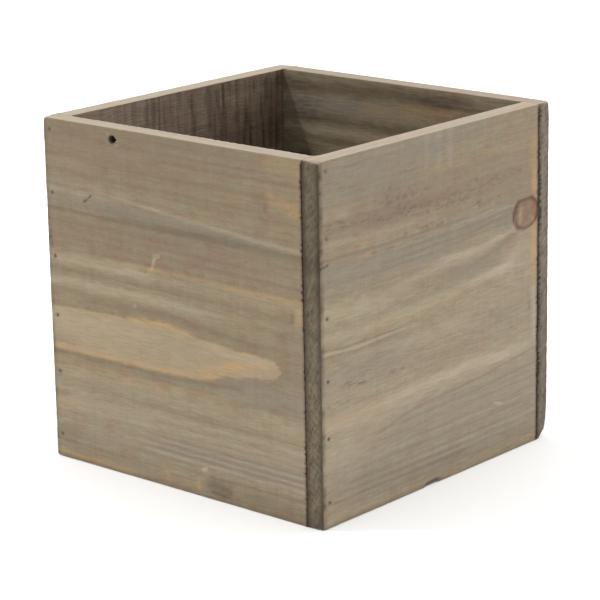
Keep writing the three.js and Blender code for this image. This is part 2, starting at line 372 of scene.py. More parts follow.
RIGHT = Figure(
    heart=78.0,
    depth=30.0,
    ring=2.3,
    knots=(Knot(123.8, 95.5, 6.3),),
    streaks=(
        Streak("chalk", 200.0, 0.1, EVERYWHERE),
        Streak("umber", 20.0, 0.16, ((-30, 122), (160, 122))),
        Streak("chalk", 30.0, 0.26, ((-30, 34), (160, 34))),
        # The grey corner, and the rosy band below it
        Streak("grey", 7.5, 0.55, ((-9, 131), (62, 130.5)), 34),
        Streak("grey", 3.0, 0.3, ((62, 134), (96, 133)), 20),
        Streak("umber", 0.5, 0.22, ((6, 133.0), (70, 132.4)), 14, 9.0),
        Streak("umber", 0.5, 0.28, ((8, 125.8), (60, 125.4)), 14, 6.0),
        Streak("grey", 3.0, 0.3, ((-9, 121.5), (44, 121)), 12),
        Streak("rose", 4.0, 0.6, ((-9, 111.0), (50, 112.0)), 18),
        Streak("rose", 8.6, 0.52, ((40, 114.6), (84, 113.6), (124, 110.5)), 22),
        Streak("amber", 1.0, 0.24, ((60, 123.6), (84, 123.0)), 8),
        Streak("amber", 1.0, 0.24, ((100, 124.0), (132, 121.6)), 8),
        Streak("pale", 1.8, 0.3, ((4, 117.2), (15, 116.6)), 5),
        Streak("umber", 1.5, 0.5, ((6, 113.0), (28, 111.4)), 7, 1.6),
        Streak("umber", 1.9, 0.5, ((30, 111.6), (60, 109.6)), 9, 1.3),
        Streak("umber", 1.5, 0.5, ((62, 109.2), (88, 108.4)), 6, 1.1),
        Streak("umber", 1.5, 0.4, ((84, 113.4), (118, 113.0)), 9, 1.4),
        Streak("umber", 1.5, 0.35, ((70, 111.4), (106, 110.4)), 9, 1.2),
        Streak("umber", 2.2, 0.4, ((34, 117.0), (58, 116.6)), 8, 1.2),
        Streak("pale", 1.8, 0.3, ((-9, 106.2), (34, 105.8), (60, 105.6)), 20),
        Streak("amber", 0.9, 0.24, ((22, 104.8), (36, 103.6)), 6),
        Streak("umber", 1.2, 0.5, ((50, 102.9), (74, 102.4)), 7, 1.1),
        Streak("umber", 1.3, 0.4, ((84, 105.6), (106, 104.8)), 8, 1.2),
        Streak("rust", 1.6, 0.2, ((26, 112.6), (72, 111.6)), 18),
        # The blue-grey zone, whose lines draw in to the knot
        Streak("grey", 4.8, 0.6, ((-9, 95.4), (60, 94.8), (112, 97.4)), 12),
        Streak("grey", 2.6, 0.3, ((-9, 88.8), (70, 90.0)), 14),
        Streak("umber", 0.6, 0.4, ((-9, 101.2), (20, 100.6), (60, 100.8), (84, 101.0)), 10),
        Streak("umber", 0.5, 0.36, ((8, 98.8), (40, 98.4), (96, 99.8), (114, 101.0)), 9, 5.0),
        Streak("umber", 0.6, 0.36, ((58, 96.8), (92, 97.6), (116, 99.2)), 12),
        Streak("umber", 0.6, 0.34, ((44, 93.6), (88, 94.6), (114, 97.2)), 14),
        Streak("umber", 0.5, 0.26, ((10, 91.0), (60, 91.4), (108, 94.0)), 14),
        Streak("umber", 0.5, 0.26, ((-9, 87.6), (30, 86.8), (70, 87.2)), 14),
        Streak("chalk", 0.8, 0.34, ((86, 99.6), (116, 100.4)), 9),
        Streak("chalk", 1.2, 0.5, ((74, 87.0), (98, 88.0), (110, 89.4), (119, 91.2)), 14),
        Streak("pale", 2.0, 0.3, ((66, 84.6), (98, 86.2)), 16),
        Streak("umber", 1.5, 0.3, ((96, 83.4), (106, 85.0), (113, 88.4)), 6),
        Streak("grey", 3.0, 0.5, ((80, 80.6), (98, 82.0), (106, 83.4)), 12),
        # The bright fan below the knot, and the pale middle
        Streak("chalk", 3.4, 0.2, ((104, 74), (113, 79), (121, 85), (126, 88)), 6),
        Streak("chalk", 6.0, 0.26, ((112, 77), (128, 78)), 8),
        Streak("pale", 3.8, 0.5, ((-9, 80.0), (44, 81.0)), 22),
        Streak("rose", 1.8, 0.2, ((34, 82.4), (84, 82.0)), 14),
        Streak("grey", 1.1, 0.28, ((-9, 74.8), (40, 75.2), (94, 78)), 14),
        Streak("pale", 2.2, 0.5, ((-9, 71.6), (50, 72.0), (84, 74.8), (112, 76.6)), 12),
        Streak("amber", 0.8, 0.3, ((36, 70.2), (66, 71.6), (104, 74.9)), 12),
        Streak("chalk", 0.8, 0.36, ((92, 75.6), (112, 77.0)), 8),
        Streak("umber", 0.4, 0.55, ((-9, 69.8), (2, 68.4), (10, 66.9), (40, 66.8)), 14),
        Streak("chalk", 0.55, 0.55, ((0, 66.6), (18, 65.6), (48, 66.0)), 12),
        Streak("umber", 0.4, 0.45, ((0, 65.2), (26, 64.4), (60, 66.2)), 14),
        Streak("grey", 5.4, 0.4, ((-9, 57.0), (48, 56.6)), 18),
        Streak("pale", 3.2, 0.34, ((52, 60.6), (84, 60.4)), 14),
        Streak("chalk", 5.0, 0.14, ((84, 66), (126, 66)), 16),
        Streak("grey", 4.4, 0.3, ((98, 56.4), (122, 55.0)), 12),
        Streak("rose", 3.2, 0.24, ((62, 50.4), (92, 50.2)), 12),
        Streak("umber", 1.8, 0.6, ((13, 52.4), (24, 51.8)), 5, 1.6),
        Streak("umber", 1.3, 0.5, ((38, 51.4), (46, 51.0)), 4, 1.6),
        Streak("umber", 1.2, 0.45, ((2, 46.6), (14, 45.8)), 4, 1.5),
        Streak("amber", 2.0, 0.22, ((-9, 39.4), (36, 40.6)), 14),
        Streak("pale", 3.6, 0.42, ((-9, 38.6), (40, 38.2), (88, 41.2), (118, 41.6)), 14),
        Streak("chalk", 1.6, 0.36, ((44, 41.4), (90, 42.4), (112, 41.0)), 16),
        # The grey ground below
        Streak("umber", 0.6, 0.4, ((34, 29.4), (42, 31.6), (54, 33.6), (98, 36.0), (140, 40.6)), 6),
        Streak("grey", 4.2, 0.36, ((48, 28.4), (92, 31.0), (140, 34.0)), 12),
        Streak("grey", 8.0, 0.34, ((16, 18.0), (140, 20.4)), 26),
        Streak("grey", 4.0, 0.36, ((30, 8.6), (140, 9.4)), 30),
        Streak("umber", 5.0, 0.1, ((20, 8.4), (140, 9.0)), 26),
        Streak("umber", 0.5, 0.28, ((48, 30.0), (96, 31.4), (132, 33.6)), 14),
        Streak("umber", 0.5, 0.24, ((40, 26.2), (118, 27.6)), 18),
        Streak("umber", 0.5, 0.24, ((60, 22.6), (134, 23.8)), 18),
        Streak("umber", 0.6, 0.28, ((30, 18.4), (120, 19.0)), 18),
        Streak("umber", 0.5, 0.24, ((22, 15.0), (104, 14.6)), 14),
        Streak("umber", 0.6, 0.34, ((18, 12.0), (78, 11.6)), 14),
        Streak("umber", 0.6, 0.4, ((-9, 9.6), (12, 9.2), (84, 8.6)), 14),
        Streak("umber", 0.5, 0.3, ((40, 5.6), (130, 6.0)), 14),
        Streak("chalk", 0.5, 0.26, ((50, 13.2), (134, 13.4)), 16),
        Streak("chalk", 0.5, 0.24, ((70, 10.4), (134, 10.2)), 16),
        Streak("chalk", 0.4, 0.24, ((40, 21.0), (130, 21.6)), 16),
        Streak("pale", 4.5, 0.3, ((-9, 26.0), (20, 27.0)), 12),
        Streak("umber", 1.6, 0.22, ((22, 15.2), (38, 14.6)), 8),
        Streak("umber", 3.0, 0.2, ((-9, 12.8), (8, 12.0)), 6),
        Streak("umber", 0.9, 0.4, ((-9, 0.6), (150, 0.6)), 8),
        Streak("pale", 1.4, 0.3, ((6, 3.0), (30, 3.4)), 9),
    ),
    marks=(
        Mark("umber", 0.55, 0.8, (-2.0, 98.2), (4.4, 99.2), 0.3),
        Mark("umber", 0.8, 0.7, (40.0, 120.8)),
        Mark("umber", 0.9, 0.75, (53.0, 116.0)),
        Mark("umber", 0.5, 0.5, (45.4, 113.4)),
        Mark("umber", 1.0, 0.4, (93.0, 106.6), (93.6, 103.6)),
        Mark("amber", 1.0, 0.3, (92.6, 103.8)),
        Mark("amber", 1.1, 0.3, (26.0, 98.8), (29.0, 98.4)),
        Mark("chalk", 1.8, 0.2, (62.0, 137.0), (61.6, 126.0)),
        Mark("chalk", 1.6, 0.2, (69.0, 137.0), (68.8, 124.0)),
        Mark("chalk", 1.6, 0.22, (75.6, 137.0), (75.8, 124.0)),
        Mark("rose", 1.6, 0.2, (32.4, 78.0), (31.6, 43.0)),
        Mark("chalk", 0.45, 0.8, (103.6, 23.2), (109.0, 21.4), 0.2),
        Mark("umber", 2.0, 0.7, (61.8, 0.0), (67.4, 0.2), 0.6),
        Mark("amber", 2.9, 0.34, (129.7, 124.0), (129.9, 68.0)),
        Mark("amber", 1.8, 0.3, (129.4, 111.0), (129.8, 105.0)),
        Mark("rust", 2.2, 0.5, (128.6, 100.6), (129.6, 95.0)),
        Mark("amber", 1.8, 0.3, (129.2, 86.0), (129.4, 77.0)),
        Mark("chalk", 1.8, 0.3, (129.6, 64.0), (129.8, 44.0)),
        Mark("umber", 0.8, 0.4, (126.0, 62.4), (126.6, 56.4)),
        Mark("umber", 0.7, 0.26, (66.8, 77.6), (70.0, 76.8)),
    ),
    end_stain=((0, 0.55), (12, 0.38), (40, 0.3), (72, 0.38), (95, 0.5), (101, 0.75), (106, 0.5)),
    worn_rim=1.3,
)

BACK = Figure(
    heart=36.0,
    depth=24.0,
    ring=2.4,
    knots=(Knot(88.0, 101.0, 4.6),),
    flame=(
        (-10, 36.0, 36.0),
        (18, 36.0, 36.0),
        (21, 38.4, 33.6),
        (40, 41.8, 31.6),
        (74, 43.0, 29.2),
        (104, 44.6, 27.8),
        (150, 45.4, 26.4),
    ),
    streaks=(
        Streak("rose", 8.0, 0.4, ((-9, 130), (150, 128)), 30),
        Streak("grey", 5.0, 0.45, ((-9, 117), (80, 116), (150, 119)), 20),
        Streak("umber", 0.8, 0.35, ((-9, 123.4), (60, 122.6), (150, 124.0)), 10),
        Streak("umber", 0.6, 0.3, ((20, 112.8), (62, 111.4), (84, 107.8)), 12),
        Streak("umber", 0.6, 0.3, ((92, 108.0), (112, 111.6), (140, 112.6)), 12),
        Streak("chalk", 1.4, 0.45, ((40, 94.0), (70, 95.2), (82, 97.6)), 14),
        Streak("chalk", 2.4, 0.4, ((93, 96.0), (108, 92.6), (150, 91.4)), 12),
        Streak("pale", 4.0, 0.45, ((-9, 88.0), (60, 86.4)), 24),
        Streak("amber", 0.8, 0.35, ((12, 83.0), (96, 81.6), (150, 82.4)), 14),
        Streak("umber", 0.9, 0.35, ((-9, 78.6), (150, 77.0)), 12),
        Streak("rose", 4.0, 0.35, ((-9, 72.0), (90, 72.0)), 30),
        Streak("pale", 2.4, 0.45, ((50, 66.0), (150, 65.4)), 20),
        Streak("grey", 4.6, 0.4, ((-9, 60.0), (70, 59.0)), 20),
        Streak("umber", 0.7, 0.3, ((-9, 53.0), (60, 52.4), (150, 53.6)), 12),
        Streak("amber", 1.2, 0.35, ((26, 38.0), (60, 41.2), (96, 43.0)), 12),
        Streak("umber", 0.8, 0.35, ((30, 29.6), (80, 26.6), (150, 24.2)), 12),
        Streak("grey", 5.0, 0.45, ((-9, 17.0), (150, 15.0)), 20),
        Streak("umber", 0.5, 0.35, ((-9, 19.4), (96, 18.2)), 14),
        Streak("umber", 0.5, 0.35, ((30, 12.2), (150, 11.4)), 14),
        Streak("chalk", 0.5, 0.35, ((10, 14.6), (120, 13.8)), 14),
        Streak("umber", 0.9, 0.4, ((-9, 0.6), (150, 0.6)), 8),
    ),
    marks=(
        Mark("umber", 0.7, 0.6, (30.0, 104.0)),
        Mark("umber", 0.6, 0.5, (64.0, 70.4)),
        Mark("chalk", 0.6, 0.6, (112.0, 58.4), (117.0, 57.2), 0.2),
        Mark("umber", 2.0, 0.6, (40.0, 0.0), (45.0, 0.2), 0.9),
        Mark("amber", 2.4, 0.3, (124.0, 108.0), (128.0, 100.0)),
    ),
    inner_streaks_and_shade=(
        Streak("umber", 60.0, 0.14, ((44, 110), (112, 110)), 20),
        # Painted shade: the dark corner where the left wall's shadow falls on this inner face.
        Streak("black", 50.0, 0.5, ((121, 80), (150, 80)), 12),
        Streak("umber", 3.0, 0.5, ((56, 133.0), (140, 131.0)), 40),
        Streak("grey", 3.4, 0.5, ((80, 126.0), (140, 124.0)), 20),
        Streak("amber", 2.6, 0.2, ((44, 127.4), (84, 125.4)), 14),
        Streak("umber", 1.2, 0.3, ((-9, 130.6), (50, 131.4)), 20),
        Streak("umber", 2.2, 0.45, ((20, 119.0), (76, 118.2), (120, 118.8)), 20),
        Streak("pale", 1.6, 0.34, ((50, 114.4), (140, 113.4)), 20),
        Streak("umber", 1.1, 0.4, ((-9, 111.0), (64, 110.2), (110, 109.4)), 16),
        Streak("umber", 2.8, 0.25, ((-9, 123.0), (28, 122.4)), 14),
        Streak("pale", 1.3, 0.3, ((10, 106.6), (80, 105.8)), 18),
        Streak("umber", 1.6, 0.4, ((34, 102.0), (140, 100.4)), 20),
        Streak("umber", 3.0, 0.3, ((-9, 92.0), (90, 90.4)), 30),
        Streak("pale", 2.4, 0.3, ((20, 84.0), (140, 82.0)), 30),
        Streak("umber", 1.4, 0.4, ((-9, 74.0), (140, 72.0)), 30),
        Streak("grey", 6.0, 0.4, ((-9, 60.0), (140, 56.0)), 30),
        Streak("umber", 5.0, 0.3, ((-9, 30.0), (140, 28.0)), 30),
    ),
    end_stain=((0, 0.26), (60, 0.18), (85, 0.1)),
    end_grey=0.16,
    end_torn=4.0,
    rim_stain=0.16,
    worn_foot=3.0,
)

LEFT = Figure(
    heart=98.0,
    depth=38.0,
    ring=2.8,
    knots=(Knot(44.0, 40.0, 4.2),),
    streaks=(
        Streak("grey", 6.0, 0.4, ((-9, 130), (150, 131)), 20),
        Streak("umber", 0.6, 0.35, ((-9, 124.4), (80, 125.0), (150, 123.6)), 14),
        Streak("rose", 7.0, 0.45, ((-9, 116), (150, 113)), 24),
        Streak("umber", 0.7, 0.3, ((14, 112.2), (100, 110.6)), 16, 3.0),
        Streak("pale", 3.4, 0.5, ((-9, 102), (70, 101), (150, 98)), 20),
        Streak("amber", 0.9, 0.35, ((20, 97.6), (150, 94.4)), 20),
        Streak("grey", 5.0, 0.4, ((-9, 89), (100, 86)), 30),
        Streak("umber", 0.8, 0.35, ((-9, 82.4), (150, 79.4)), 12),
        Streak("rose", 4.0, 0.4, ((40, 75), (150, 73)), 24),
        Streak("pale", 3.0, 0.5, ((-9, 69), (90, 67)), 26),
        Streak("umber", 0.7, 0.32, ((-9, 62.0), (66, 60.4), (150, 61.6)), 14),
        Streak("chalk", 1.6, 0.45, ((-9, 50.0), (26, 48.6), (38, 45.8)), 12),
        Streak("chalk", 1.8, 0.4, ((50, 45.6), (66, 48.0), (110, 49.6)), 14),
        Streak("grey", 3.6, 0.45, ((-9, 41.0), (30, 40.4)), 10),
        Streak("grey", 3.6, 0.4, ((58, 40.0), (150, 38.8)), 14),
        Streak("umber", 0.6, 0.36, ((-9, 33.4), (30, 34.0), (44, 31.6), (60, 33.4), (150, 32.0)), 10),
        Streak("pale", 3.6, 0.4, ((-9, 25), (150, 24)), 24),
        Streak("amber", 1.0, 0.3, ((30, 20.4), (110, 19.4)), 20),
        Streak("grey", 4.6, 0.45, ((-9, 10), (150, 11)), 20),
        Streak("umber", 0.5, 0.35, ((-9, 14.0), (130, 14.8)), 14),
        Streak("umber", 0.5, 0.35, ((20, 7.6), (150, 8.2)), 14),
        Streak("umber", 0.9, 0.4, ((-9, 0.6), (150, 0.6)), 8),
    ),
    marks=(
        Mark("umber", 0.7, 0.6, (92.0, 118.6)),
        Mark("umber", 0.6, 0.5, (99.0, 113.0)),
        Mark("chalk", 0.6, 0.6, (22.0, 88.0), (27.0, 89.0), 0.2),
        Mark("umber", 1.8, 0.5, (96.0, 0.0), (101.0, 0.2), 0.8),
        Mark("amber", 2.2, 0.35, (126.0, 58.0), (129.0, 50.0)),
    ),
    inner_streaks_and_shade=(
        # Painted light and shade: lighter towards the front corner, darker towards the back corner.
        Streak("chalk", 60.0, 0.22, ((106, 120), (150, 120)), 40),
        Streak("rose", 60.0, 0.2, ((60, 120), (150, 120)), 40),
        Streak("umber", 60.0, 0.16, ((-20, 110), (40, 110)), 60),
        Streak("umber", 9.0, 0.25, ((-9, 112), (80, 110)), 40),
        Streak("black", 2.6, 0.25, ((-9, 134), (34, 134)), 20),
    ),
)

FLOOR = Figure(
    heart=60.0,
    depth=30.0,
    ring=2.5,
    knots=(Knot(84.0, 78.0, 4.4),),
    streaks=(
        Streak("umber", 5.0, 0.3, ((-9, 110), (140, 108)), 20),
        Streak("grey", 7.0, 0.4, ((-9, 92), (140, 90)), 20),
        Streak("pale", 3.0, 0.35, ((10, 68), (140, 66)), 20),
        Streak("umber", 1.0, 0.4, ((-9, 57), (140, 55)), 14),
        Streak("rose", 7.0, 0.4, ((-9, 44), (140, 42)), 20),
        Streak("umber", 1.0, 0.35, ((-9, 31), (140, 30)), 14),
        Streak("pale", 2.6, 0.3, ((-9, 20), (140, 18)), 20),
    ),
)

FIGURES = {"front": FRONT, "right": RIGHT, "back": BACK, "left": LEFT}

SWELLING = 0.8  # how strongly the grain parts round a knot, against a flow past a cylinder
SWELLING_LENGTH = 2.4  # length of the parted grain over its height
FLAME_REACH = 15.0  # distance over which the rings forget the bare patch's outline
KNOT_LENGTH = 1.3  # length of a knot over its height
KNOT_RING = 1.4  # thickness of a knot's own rings


def parted(at, knots):
    """Height across the grain, with the grain parted round each knot.

    Round a knot it is the stream function of a flow past a cylinder: the height above the knot's
    middle is cut by the square of its radius over the distance, with distances along the grain
    counted as shorter, so that the swelling is long.
    """
    height = at[:, 2].copy()
    for knot in knots:
        run = (at[:, 0] - knot.along) / SWELLING_LENGTH
        rise = height - knot.up
        far = np.maximum(run**2 + rise**2, (knot.radius * 0.9) ** 2)
        height -= SWELLING * rise * knot.radius**2 / far
    return height


def flame_edges(along, flame):
    """The top and the bottom of the bare patch at each place along the board, a little ragged."""
    at, top, bottom = np.array(flame).T
    ragged = 0.35 * noise(along / 4.0, 0.0, 5) + 0.25 * noise(along / 1.3, 9.0, 6)
    return np.interp(along, at, top) + ragged, np.interp(along, at, bottom) + ragged


def ring_height(at, height, figure):
    """Height across the growth rings, where the flame's whole outline counts as one height.

    Above the flame's top, and below its bottom, the rings follow its outline less the further
    they are from it.
    """
    if not figure.flame:
        return height
    top, bottom = flame_edges(at[:, 0], figure.flame)
    over, under = np.maximum(height - top, 0), np.maximum(bottom - height, 0)
    above = height - (top - figure.heart) * np.exp(-over / FLAME_REACH)
    below = height + (figure.heart - bottom) * np.exp(-under / FLAME_REACH)
    inside = np.full(height.shape, figure.heart)
    return np.where(height > top, above, np.where(height < bottom, below, inside))


def knot_distance(at, knot):
    """Distance from a knot's middle over its size: a rounded oblong, a third longer than high."""
    run = (at[:, 0] - knot.along) / (knot.radius * KNOT_LENGTH)
    rise = (at[:, 2] - knot.up) / knot.radius
    ragged = 0.06 * noise(at[:, 0] / 2.2, at[:, 2] / 2.2, 11)
    return (np.abs(run) ** 2.5 + np.abs(rise) ** 2.5) ** 0.4 + ragged


def growth_rings(at, figure, seed):
    """Years of growth from the pith: the distance from the pith's line over a year's thickness.
    A knot has rings of its own, round its middle."""
    height = parted(at, figure.knots) + 0.8 * noise(at[:, 0] / 55.0, at[:, 2] / 40.0, seed)
    across = ring_height(at, height, figure) - figure.heart
    depth = figure.depth + at[:, 1] + 0.01 * at[:, 0]
    rings = np.hypot(depth, across) / figure.ring
    for knot in figure.knots:
        far = knot_distance(at, knot)
        rings = np.where(far < 1.0, far * knot.radius / KNOT_RING, rings)
    return rings


def streak_shares(at, streaks, seed):
    """Each streak's tint and its share at each point: full on its line and falling away over its
    half height, with its edges and ends broken by noise. Some are broken right up, into specks."""
    along, _, up = at.T
    for i, streak in enumerate(streaks):
        stations, heights = np.array(streak.line, dtype=float).T
        rise = (up - np.interp(along, stations, heights)) / streak.half
        rise += 0.3 * noise(along / 9.0, up / 1.6 + 17.0 * i, seed)
        rise += 0.4 * noise(along / 3.4, up / 0.8 + 5.0 * i, seed)
        ends = along + 0.4 * streak.fade * noise(up / 1.2 + 7.0 * i, 3.0, seed)
        share = streak.strength * np.exp(-np.abs(rise) ** 2.4)
        share *= ease(ends, stations[0] - streak.fade, stations[0])
        share *= 1.0 - ease(ends, stations[-1], stations[-1] + streak.fade)
        if streak.specks:
            share *= 1.6 * ease(noise(along / streak.specks, up / 0.6 + 5.0 * i, seed), 0.0, 0.7)
        yield streak.tint, share


def mark_distance(at, mark):
    """Distance from a mark's spot or stroke over half its width: from the nearest point of the
    line between its ends, with a ragged edge."""
    start = np.array(mark.start, dtype=float)
    run = np.array(mark.end or mark.start, dtype=float) - start
    offset = at[:, [0, 2]] - start
    share = np.clip(offset @ run / max(run @ run, 1e-9), 0.0, 1.0)
    far = np.linalg.norm(offset - share[:, None] * run, axis=1) / mark.half
    ragged = 0.4 * noise(at[:, 0] / 1.6, at[:, 2] / 0.8, 13)
    ragged += 0.2 * noise(at[:, 0] / 0.9, at[:, 2] / 0.6, 14)
    return far + ragged / (1.0 + 2.0 * mark.depth)  # a deep mark's edge is cleaner


def painted(at, streaks, seed, strength=1.0, marks=()):
    """The share of each tint at each point of a face, from its streaks and its marks."""
    tints = {tint: np.zeros(len(at)) for tint in TINTS}
    for tint, share in streak_shares(at, streaks, seed):
        tints[tint] += strength * share
    for mark in marks:
        cut = min(mark.depth, 1.0)  # a sunk mark is sharper and stronger
        share = 1.0 - ease(mark_distance(at, mark), 0.2 + 0.6 * cut, 1.3)
        tints[mark.tint] += (0.7 + 0.3 * cut) * mark.strength * share
    return tints


def grown_in(at, figure):
    """The share of each tint that comes with the grain itself: the pale bare patch inside the
    flame with its amber rim, and the rusty knots, dark round the edge and pale at the heart."""
    tints = {tint: np.zeros(len(at)) for tint in TINTS}
    if figure.flame:
        top, bottom = flame_edges(at[:, 0], figure.flame)
        inside = np.minimum(top - at[:, 2], at[:, 2] - bottom)
        patch = ease(inside, -0.2, 1.0)
        tints["pale"] += 0.3 * patch
        tints["amber"] += 0.09 * patch + 0.16 * patch * near(inside, 2.6)
    for knot in figure.knots:
        far = knot_distance(at, knot)
        body = 1.0 - ease(far, 0.9, 1.02)
        # Its heart lies to one side of its middle.
        run = (at[:, 0] - knot.along) / knot.radius + 0.45
        heart = np.hypot(run, (at[:, 2] - knot.up) / knot.radius)
        tints["rust"] += body * (0.44 + 0.25 * noise(at[:, 0] / 1.4, at[:, 2] / 1.4, 12))
        tints["rust"] += 0.35 * near(far - 0.9, 0.24)
        tints["umber"] += 0.6 * near(far - 0.94, 0.15) + 0.22 * body * near(heart - 0.66, 0.2)
        tints["pale"] += 0.3 * body * near(heart, 0.6)
        tints["amber"] += 0.06 * body
    return tints


# ---------------------------------------------------------------------------------------------
# Meshes and materials


def linear(hex_colour):
    """An sRGB hex colour as linear red, green, blue and alpha."""
    value = np.array([int(hex_colour[i : i + 2], 16) for i in (1, 3, 5)]) / 255.0
    value = np.where(value <= 0.04045, value / 12.92, ((value + 0.055) / 1.055) ** 2.4)
    return (*value.tolist(), 1.0)


def shaded(colour, factor):
    """A linear colour made lighter or darker."""
    return (*[min(1.0, channel * factor) for channel in colour[:3]], 1.0)


def add(tree, kind, inputs=None, stops=None, **settings):
    """Adds a node, sets its properties and its ramp's stops, and fills each input with a value or
    with a link from another node's output."""
    made = tree.nodes.new(kind)
    for name, value in settings.items():
        setattr(made, name, value)
    for i, (place, colour) in enumerate(stops or ()):
        ramp = made.color_ramp.elements
        stop = ramp[i] if i < 2 else ramp.new(place)
        stop.position, stop.color = place, colour
    for key, value in (inputs or {}).items():
        if isinstance(value, bpy.types.NodeSocket):
            tree.links.new(value, made.inputs[key])
        else:
            made.inputs[key].default_value = value
    return made


def new_material(name):
    """An empty material with its node tree."""
    material = bpy.data.materials.new(name)
    material.use_nodes = True
    material.node_tree.nodes.clear()
    return material, material.node_tree


class Cut(NamedTuple):
    """How a face of a board was cut, and so how it takes the stain."""

    colour: tuple
    contrast: float
    roughness: float
    relief: float  # metres
    saw: float  # strength of the scratches across the grain


TINT_COLOURS = {
    "pale": "#aea28a",
    "chalk": "#b5a998",
    "grey": "#777470",
    "rose": "#786457",
    "amber": "#b48f5a",
    "rust": "#6d4638",
    "umber": "#40342a",
    "black": "#0d0a08",
}


LEVEL = -0.19  # brings the weighted patterns back to the middle of the colour ramp


def stained_pine(name, cut):
    """Pine under a thin grey-brown stain. The stain sinks unevenly between the fibres, which gives
    long soft streaks; the hard late wood of each ring shows as a fine darker line, and the resin
    canals as short dark flecks."""
    material, tree = new_material(name)
    place = add(tree, "ShaderNodeAttribute", attribute_name="grain_place").outputs["Vector"]
    rings = add(tree, "ShaderNodeAttribute", attribute_name="rings").outputs["Fac"]

    # Features to the metre, along, through and up: streaks 100 mm by 6 mm, fibres 9 mm by
    # 0.9 mm, threads 4 mm by 0.3 mm, flecks 5 mm by 0.4 mm, blotches 9 mm by 5 mm, specks 0.8 mm
    # by 0.6 mm and scratches 2 mm apart.
    patterns = {}
    for key, scale, detail in (
        ("streaks", (10, 170, 170), 3.0),
        ("fibres", (110, 1150, 1150), 3.0),
        ("threads", (260, 3200, 3200), 2.0),
        ("flecks", (190, 2600, 2600), 1.0),
        ("blotches", (110, 200, 200), 3.0),
        ("specks", (1250, 1700, 1700), 1.0),
        ("scratches", (520, 45, 45), 2.0),
    ):
        way = add(tree, "ShaderNodeMapping", {"Vector": place, "Scale": scale}).outputs[0]
        settings = {"Vector": way, "Scale": 1.0, "Detail": detail, "Roughness": 0.58}
        patterns[key] = add(tree, "ShaderNodeTexNoise", settings).outputs[0]

    mixed = None
    weights = {"streaks": 0.14, "fibres": 0.3, "threads": 0.34, "specks": 0.2}
    weights.update({"scratches": 0.13, "blotches": 0.27})
    for key, weight in weights.items():
        terms = {0: patterns[key], 1: weight, 2: mixed or LEVEL}
        mixed = add(tree, "ShaderNodeMath", terms, operation="MULTIPLY_ADD").outputs[0]
    tones = (
        (0.3, shaded(cut.colour, 1.0 - cut.contrast)),
        (0.7, shaded(cut.colour, 1.0 + cut.contrast)),
        (0.5, cut.colour),
    )
    colour = add(tree, "ShaderNodeValToRGB", {"Fac": mixed}, tones).outputs[0]

    # The stain is a little greener in some places and a little redder in others.
    cast = add(
        tree,
        "ShaderNodeValToRGB",
        {"Fac": patterns["blotches"]},
        ((0.36, linear("#fff4ec")), (0.64, linear("#f3f8f0"))),
    ).outputs[0]
    settings = {"Factor": 1.0, 6: colour, 7: cast}
    colour = add(tree, "ShaderNodeMix", settings, data_type="RGBA", blend_type="MULTIPLY").outputs[2]

    # Late wood: dark towards the end of each year's ring, with a sharp edge to the next.
    terms = {0: patterns["streaks"], 1: 0.6, 2: rings}
    wobble = add(tree, "ShaderNodeMath", terms, operation="MULTIPLY_ADD").outputs[0]
    year = add(tree, "ShaderNodeMath", {0: wobble}, operation="FRACT").outputs[0]
    late = add(
        tree,
        "ShaderNodeValToRGB",
        {"Fac": year},
        ((0.0, (0, 0, 0, 1)), (1.0, (0.1, 0.1, 0.1, 1)), (0.5, (0, 0, 0, 1)), (0.9, (1, 1, 1, 1))),
    ).outputs[0]
    late = add(
        tree, "ShaderNodeMath", {0: late, 1: patterns["fibres"]}, operation="MULTIPLY"
    ).outputs[0]
    late = add(tree, "ShaderNodeMath", {0: late, 1: 0.4}, operation="MULTIPLY").outputs[0]
    flecks = add(
        tree,
        "ShaderNodeMapRange",
        {"Value": patterns["flecks"], "From Min": 0.62, "From Max": 0.76, "To Max": 0.34},
    ).outputs[0]
    for share in (late, flecks):
        settings = {"Factor": share, 6: colour, 7: shaded(cut.colour, 0.55)}
        colour = add(tree, "ShaderNodeMix", settings, data_type="RGBA").outputs[2]

    # Each tint is broken up by the fibres, so that its streaks fray.
    frayed = add(
        tree,
        "ShaderNodeMapRange",
        {"Value": patterns["fibres"], "From Min": 0.3, "From Max": 0.7, "To Min": 0.75, "To Max": 1.2},
    ).outputs[0]
    for tint in TINTS:
        amount = add(tree, "ShaderNodeAttribute", attribute_name=tint).outputs["Fac"]
        terms = {0: amount, 1: frayed}
        share = add(tree, "ShaderNodeMath", terms, operation="MULTIPLY", use_clamp=True).outputs[0]
        settings = {"Factor": share, 6: colour, 7: linear(TINT_COLOURS[tint])}
        colour = add(tree, "ShaderNodeMix", settings, data_type="RGBA").outputs[2]

    terms = {0: patterns["scratches"], 1: cut.saw, 2: patterns["fibres"]}
    height = add(tree, "ShaderNodeMath", terms, operation="MULTIPLY_ADD").outputs[0]
    terms = {0: patterns["threads"], 1: 0.6, 2: height}
    height = add(tree, "ShaderNodeMath", terms, operation="MULTIPLY_ADD").outputs[0]
    settings = {"Height": height, "Strength": 0.8, "Distance": cut.relief}
    bump = add(tree, "ShaderNodeBump", settings).outputs[0]
    settings = {"Value": patterns["fibres"], "To Min": cut.roughness - 0.1, "To Max": cut.roughness + 0.1}
    rough = add(tree, "ShaderNodeMapRange", settings).outputs[0]
    finish(tree, colour, rough, bump)
    return material


